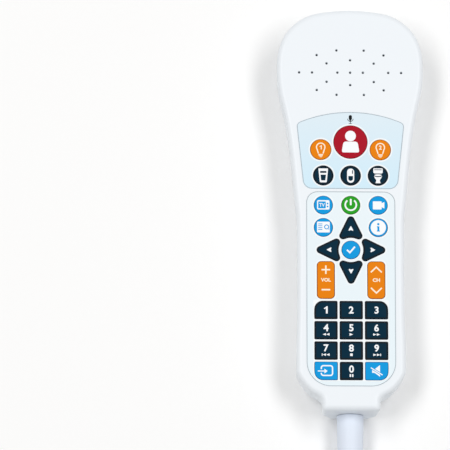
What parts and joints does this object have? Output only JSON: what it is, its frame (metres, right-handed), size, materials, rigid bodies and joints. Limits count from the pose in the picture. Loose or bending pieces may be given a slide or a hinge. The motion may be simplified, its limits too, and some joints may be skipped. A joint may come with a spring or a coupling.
{
  "type": "pillow speaker",
  "caption": "Bedside pillow speaker handset with sprung call and television keys, a built-in loudspeaker, a strain relief and a coiled cord with a round plug.",
  "frame": {"origin": "centre of the casing's footprint, on the surface that its back rests on", "axes": "+Z out of the keys, +Y towards the loudspeaker end, -Y towards the cord, +X to the right of the keys"},
  "size_m": [0.1121, 0.4213, 0.0297],
  "materials": {
    "white_casing": "fine satin",
    "seal_rubber": "matte",
    "screw_steel": "bright",
    "call_overlay": "satin film",
    "control_overlay": "satin film",
    "key_red": "satin",
    "key_orange": "satin",
    "key_navy": "satin",
    "key_blue": "satin",
    "key_green": "satin",
    "dome_film": "matte",
    "dome_steel": "bright",
    "board": "solder mask",
    "chip": "matte",
    "socket_nylon": "matte",
    "cloth": "woven",
    "speaker_steel": "zinc",
    "magnet": "matte",
    "surround_rubber": "matte",
    "cone_paper": "pressed paper",
    "wire": "satin",
    "mic_can": "satin",
    "white_pvc": "smooth satin",
    "clamp_nylon": "matte",
    "tie_strap": "woven",
    "plug_nickel": "nickel plate",
    "plug_black": "moulded",
    "plug_gold": "plated"
  },
  "bodies": {
    "casing": {"front_cover": "white_casing", "back_cover": "white_casing", "casing_seal": "seal_rubber", "casing_screws": "screw_steel", "call_panel": "call_overlay", "control_panel": "control_overlay", "dome_sheet": "dome_film", "snap_domes": "dome_steel", "circuit_board": "board", "board_chips": "chip", "wire_socket": "socket_nylon", "small_screws": "screw_steel", "grille_cloth": "cloth", "speaker_frame": "speaker_steel", "speaker_magnet": "magnet", "cone_surround": "surround_rubber", "speaker_screws": "screw_steel", "speaker_leads": "wire", "microphone": "mic_can", "strain_relief": "white_pvc", "cable_clamp": "clamp_nylon", "inner_cable": "white_pvc", "cord_lead": "white_pvc", "cord_coil": "white_pvc", "coil_tie": "tie_strap", "plug_boot": "white_pvc", "plug_shell": "plug_nickel", "plug_insert": "plug_black", "plug_pins": "plug_gold"},
    "cone": {"speaker_cone": "cone_paper"},
    "key_nurse": {"key_nurse": "key_red"},
    "key_light_1": {"key_light_1": "key_orange"},
    "key_light_2": {"key_light_2": "key_orange"},
    "key_water": {"key_water": "key_navy"},
    "key_medicine": {"key_medicine": "key_navy"},
    "key_toilet": {"key_toilet": "key_navy"},
    "key_tv": {"key_tv": "key_blue"},
    "key_power": {"key_power": "key_green"},
    "key_camera": {"key_camera": "key_blue"},
    "key_guide": {"key_guide": "key_blue"},
    "key_info": {"key_info": "key_blue"},
    "key_select": {"key_select": "key_blue"},
    "key_up": {"key_up": "key_navy"},
    "key_left": {"key_left": "key_navy"},
    "key_down": {"key_down": "key_navy"},
    "key_right": {"key_right": "key_navy"},
    "key_1": {"key_1": "key_navy"},
    "key_2": {"key_2": "key_navy"},
    "key_3": {"key_3": "key_navy"},
    "key_4": {"key_4": "key_navy"},
    "key_5": {"key_5": "key_navy"},
    "key_6": {"key_6": "key_navy"},
    "key_7": {"key_7": "key_navy"},
    "key_8": {"key_8": "key_navy"},
    "key_9": {"key_9": "key_navy"},
    "key_input": {"key_input": "key_blue"},
    "key_0": {"key_0": "key_navy"},
    "key_mute": {"key_mute": "key_blue"},
    "rocker_volume": {"rocker_volume": "key_orange"},
    "rocker_channel": {"rocker_channel": "key_orange"}
  },
  "joints": [
    {"name": "cone_stroke", "type": "slide", "parent": "casing", "child": "cone", "axis": [0, 0, 1], "range_m": [-0.0004, 0.0004], "stiffness_N_per_m": 2000},
    {"name": "key_nurse_press", "type": "slide", "parent": "casing", "child": "key_nurse", "axis": [0, 0, -1], "range_m": [0, 0.0005], "stiffness_N_per_m": 1500, "springref_m": -0.0005},
    {"name": "key_light_1_press", "type": "slide", "parent": "casing", "child": "key_light_1", "axis": [0, 0, -1], "range_m": [0, 0.0005], "stiffness_N_per_m": 1500, "springref_m": -0.0005},
    {"name": "key_light_2_press", "type": "slide", "parent": "casing", "child": "key_light_2", "axis": [0, 0, -1], "range_m": [0, 0.0005], "stiffness_N_per_m": 1500, "springref_m": -0.0005},
    {"name": "key_water_press", "type": "slide", "parent": "casing", "child": "key_water", "axis": [0, 0, -1], "range_m": [0, 0.0005], "stiffness_N_per_m": 1500, "springref_m": -0.0005},
    {"name": "key_medicine_press", "type": "slide", "parent": "casing", "child": "key_medicine", "axis": [0, 0, -1], "range_m": [0, 0.0005], "stiffness_N_per_m": 1500, "springref_m": -0.0005},
    {"name": "key_toilet_press", "type": "slide", "parent": "casing", "child": "key_toilet", "axis": [0, 0, -1], "range_m": [0, 0.0005], "stiffness_N_per_m": 1500, "springref_m": -0.0005},
    {"name": "key_tv_press", "type": "slide", "parent": "casing", "child": "key_tv", "axis": [0, 0, -1], "range_m": [0, 0.0005], "stiffness_N_per_m": 1500, "springref_m": -0.0005},
    {"name": "key_power_press", "type": "slide", "parent": "casing", "child": "key_power", "axis": [0, 0, -1], "range_m": [0, 0.0005], "stiffness_N_per_m": 1500, "springref_m": -0.0005},
    {"name": "key_camera_press", "type": "slide", "parent": "casing", "child": "key_camera", "axis": [0, 0, -1], "range_m": [0, 0.0005], "stiffness_N_per_m": 1500, "springref_m": -0.0005},
    {"name": "key_guide_press", "type": "slide", "parent": "casing", "child": "key_guide", "axis": [0, 0, -1], "range_m": [0, 0.0005], "stiffness_N_per_m": 1500, "springref_m": -0.0005},
    {"name": "key_info_press", "type": "slide", "parent": "casing", "child": "key_info", "axis": [0, 0, -1], "range_m": [0, 0.0005], "stiffness_N_per_m": 1500, "springref_m": -0.0005},
    {"name": "key_select_press", "type": "slide", "parent": "casing", "child": "key_select", "axis": [0, 0, -1], "range_m": [0, 0.0005], "stiffness_N_per_m": 1500, "springref_m": -0.0005},
    {"name": "key_up_press", "type": "slide", "parent": "casing", "child": "key_up", "axis": [0, 0, -1], "range_m": [0, 0.0005], "stiffness_N_per_m": 1500, "springref_m": -0.0005},
    {"name": "key_left_press", "type": "slide", "parent": "casing", "child": "key_left", "axis": [0, 0, -1], "range_m": [0, 0.0005], "stiffness_N_per_m": 1500, "springref_m": -0.0005},
    {"name": "key_down_press", "type": "slide", "parent": "casing", "child": "key_down", "axis": [0, 0, -1], "range_m": [0, 0.0005], "stiffness_N_per_m": 1500, "springref_m": -0.0005},
    {"name": "key_right_press", "type": "slide", "parent": "casing", "child": "key_right", "axis": [0, 0, -1], "range_m": [0, 0.0005], "stiffness_N_per_m": 1500, "springref_m": -0.0005},
    {"name": "key_1_press", "type": "slide", "parent": "casing", "child": "key_1", "axis": [0, 0, -1], "range_m": [0, 0.0005], "stiffness_N_per_m": 1500, "springref_m": -0.0005},
    {"name": "key_2_press", "type": "slide", "parent": "casing", "child": "key_2", "axis": [0, 0, -1], "range_m": [0, 0.0005], "stiffness_N_per_m": 1500, "springref_m": -0.0005},
    {"name": "key_3_press", "type": "slide", "parent": "casing", "child": "key_3", "axis": [0, 0, -1], "range_m": [0, 0.0005], "stiffness_N_per_m": 1500, "springref_m": -0.0005},
    {"name": "key_4_press", "type": "slide", "parent": "casing", "child": "key_4", "axis": [0, 0, -1], "range_m": [0, 0.0005], "stiffness_N_per_m": 1500, "springref_m": -0.0005},
    {"name": "key_5_press", "type": "slide", "parent": "casing", "child": "key_5", "axis": [0, 0, -1], "range_m": [0, 0.0005], "stiffness_N_per_m": 1500, "springref_m": -0.0005},
    {"name": "key_6_press", "type": "slide", "parent": "casing", "child": "key_6", "axis": [0, 0, -1], "range_m": [0, 0.0005], "stiffness_N_per_m": 1500, "springref_m": -0.0005},
    {"name": "key_7_press", "type": "slide", "parent": "casing", "child": "key_7", "axis": [0, 0, -1], "range_m": [0, 0.0005], "stiffness_N_per_m": 1500, "springref_m": -0.0005},
    {"name": "key_8_press", "type": "slide", "parent": "casing", "child": "key_8", "axis": [0, 0, -1], "range_m": [0, 0.0005], "stiffness_N_per_m": 1500, "springref_m": -0.0005},
    {"name": "key_9_press", "type": "slide", "parent": "casing", "child": "key_9", "axis": [0, 0, -1], "range_m": [0, 0.0005], "stiffness_N_per_m": 1500, "springref_m": -0.0005},
    {"name": "key_input_press", "type": "slide", "parent": "casing", "child": "key_input", "axis": [0, 0, -1], "range_m": [0, 0.0005], "stiffness_N_per_m": 1500, "springref_m": -0.0005},
    {"name": "key_0_press", "type": "slide", "parent": "casing", "child": "key_0", "axis": [0, 0, -1], "range_m": [0, 0.0005], "stiffness_N_per_m": 1500, "springref_m": -0.0005},
    {"name": "key_mute_press", "type": "slide", "parent": "casing", "child": "key_mute", "axis": [0, 0, -1], "range_m": [0, 0.0005], "stiffness_N_per_m": 1500, "springref_m": -0.0005},
    {"name": "rocker_volume_tip", "type": "hinge", "parent": "casing", "child": "rocker_volume", "pos_m": [-0.0134, -0.0389, 0.0256], "axis": [1, 0, 0], "range_deg": [-2.5, 2.5], "stiffness_Nm_per_rad": 0.16},
    {"name": "rocker_channel_tip", "type": "hinge", "parent": "casing", "child": "rocker_channel", "pos_m": [0.0134, -0.0389, 0.0256], "axis": [1, 0, 0], "range_deg": [-2.5, 2.5], "stiffness_Nm_per_rad": 0.16}
  ]
}
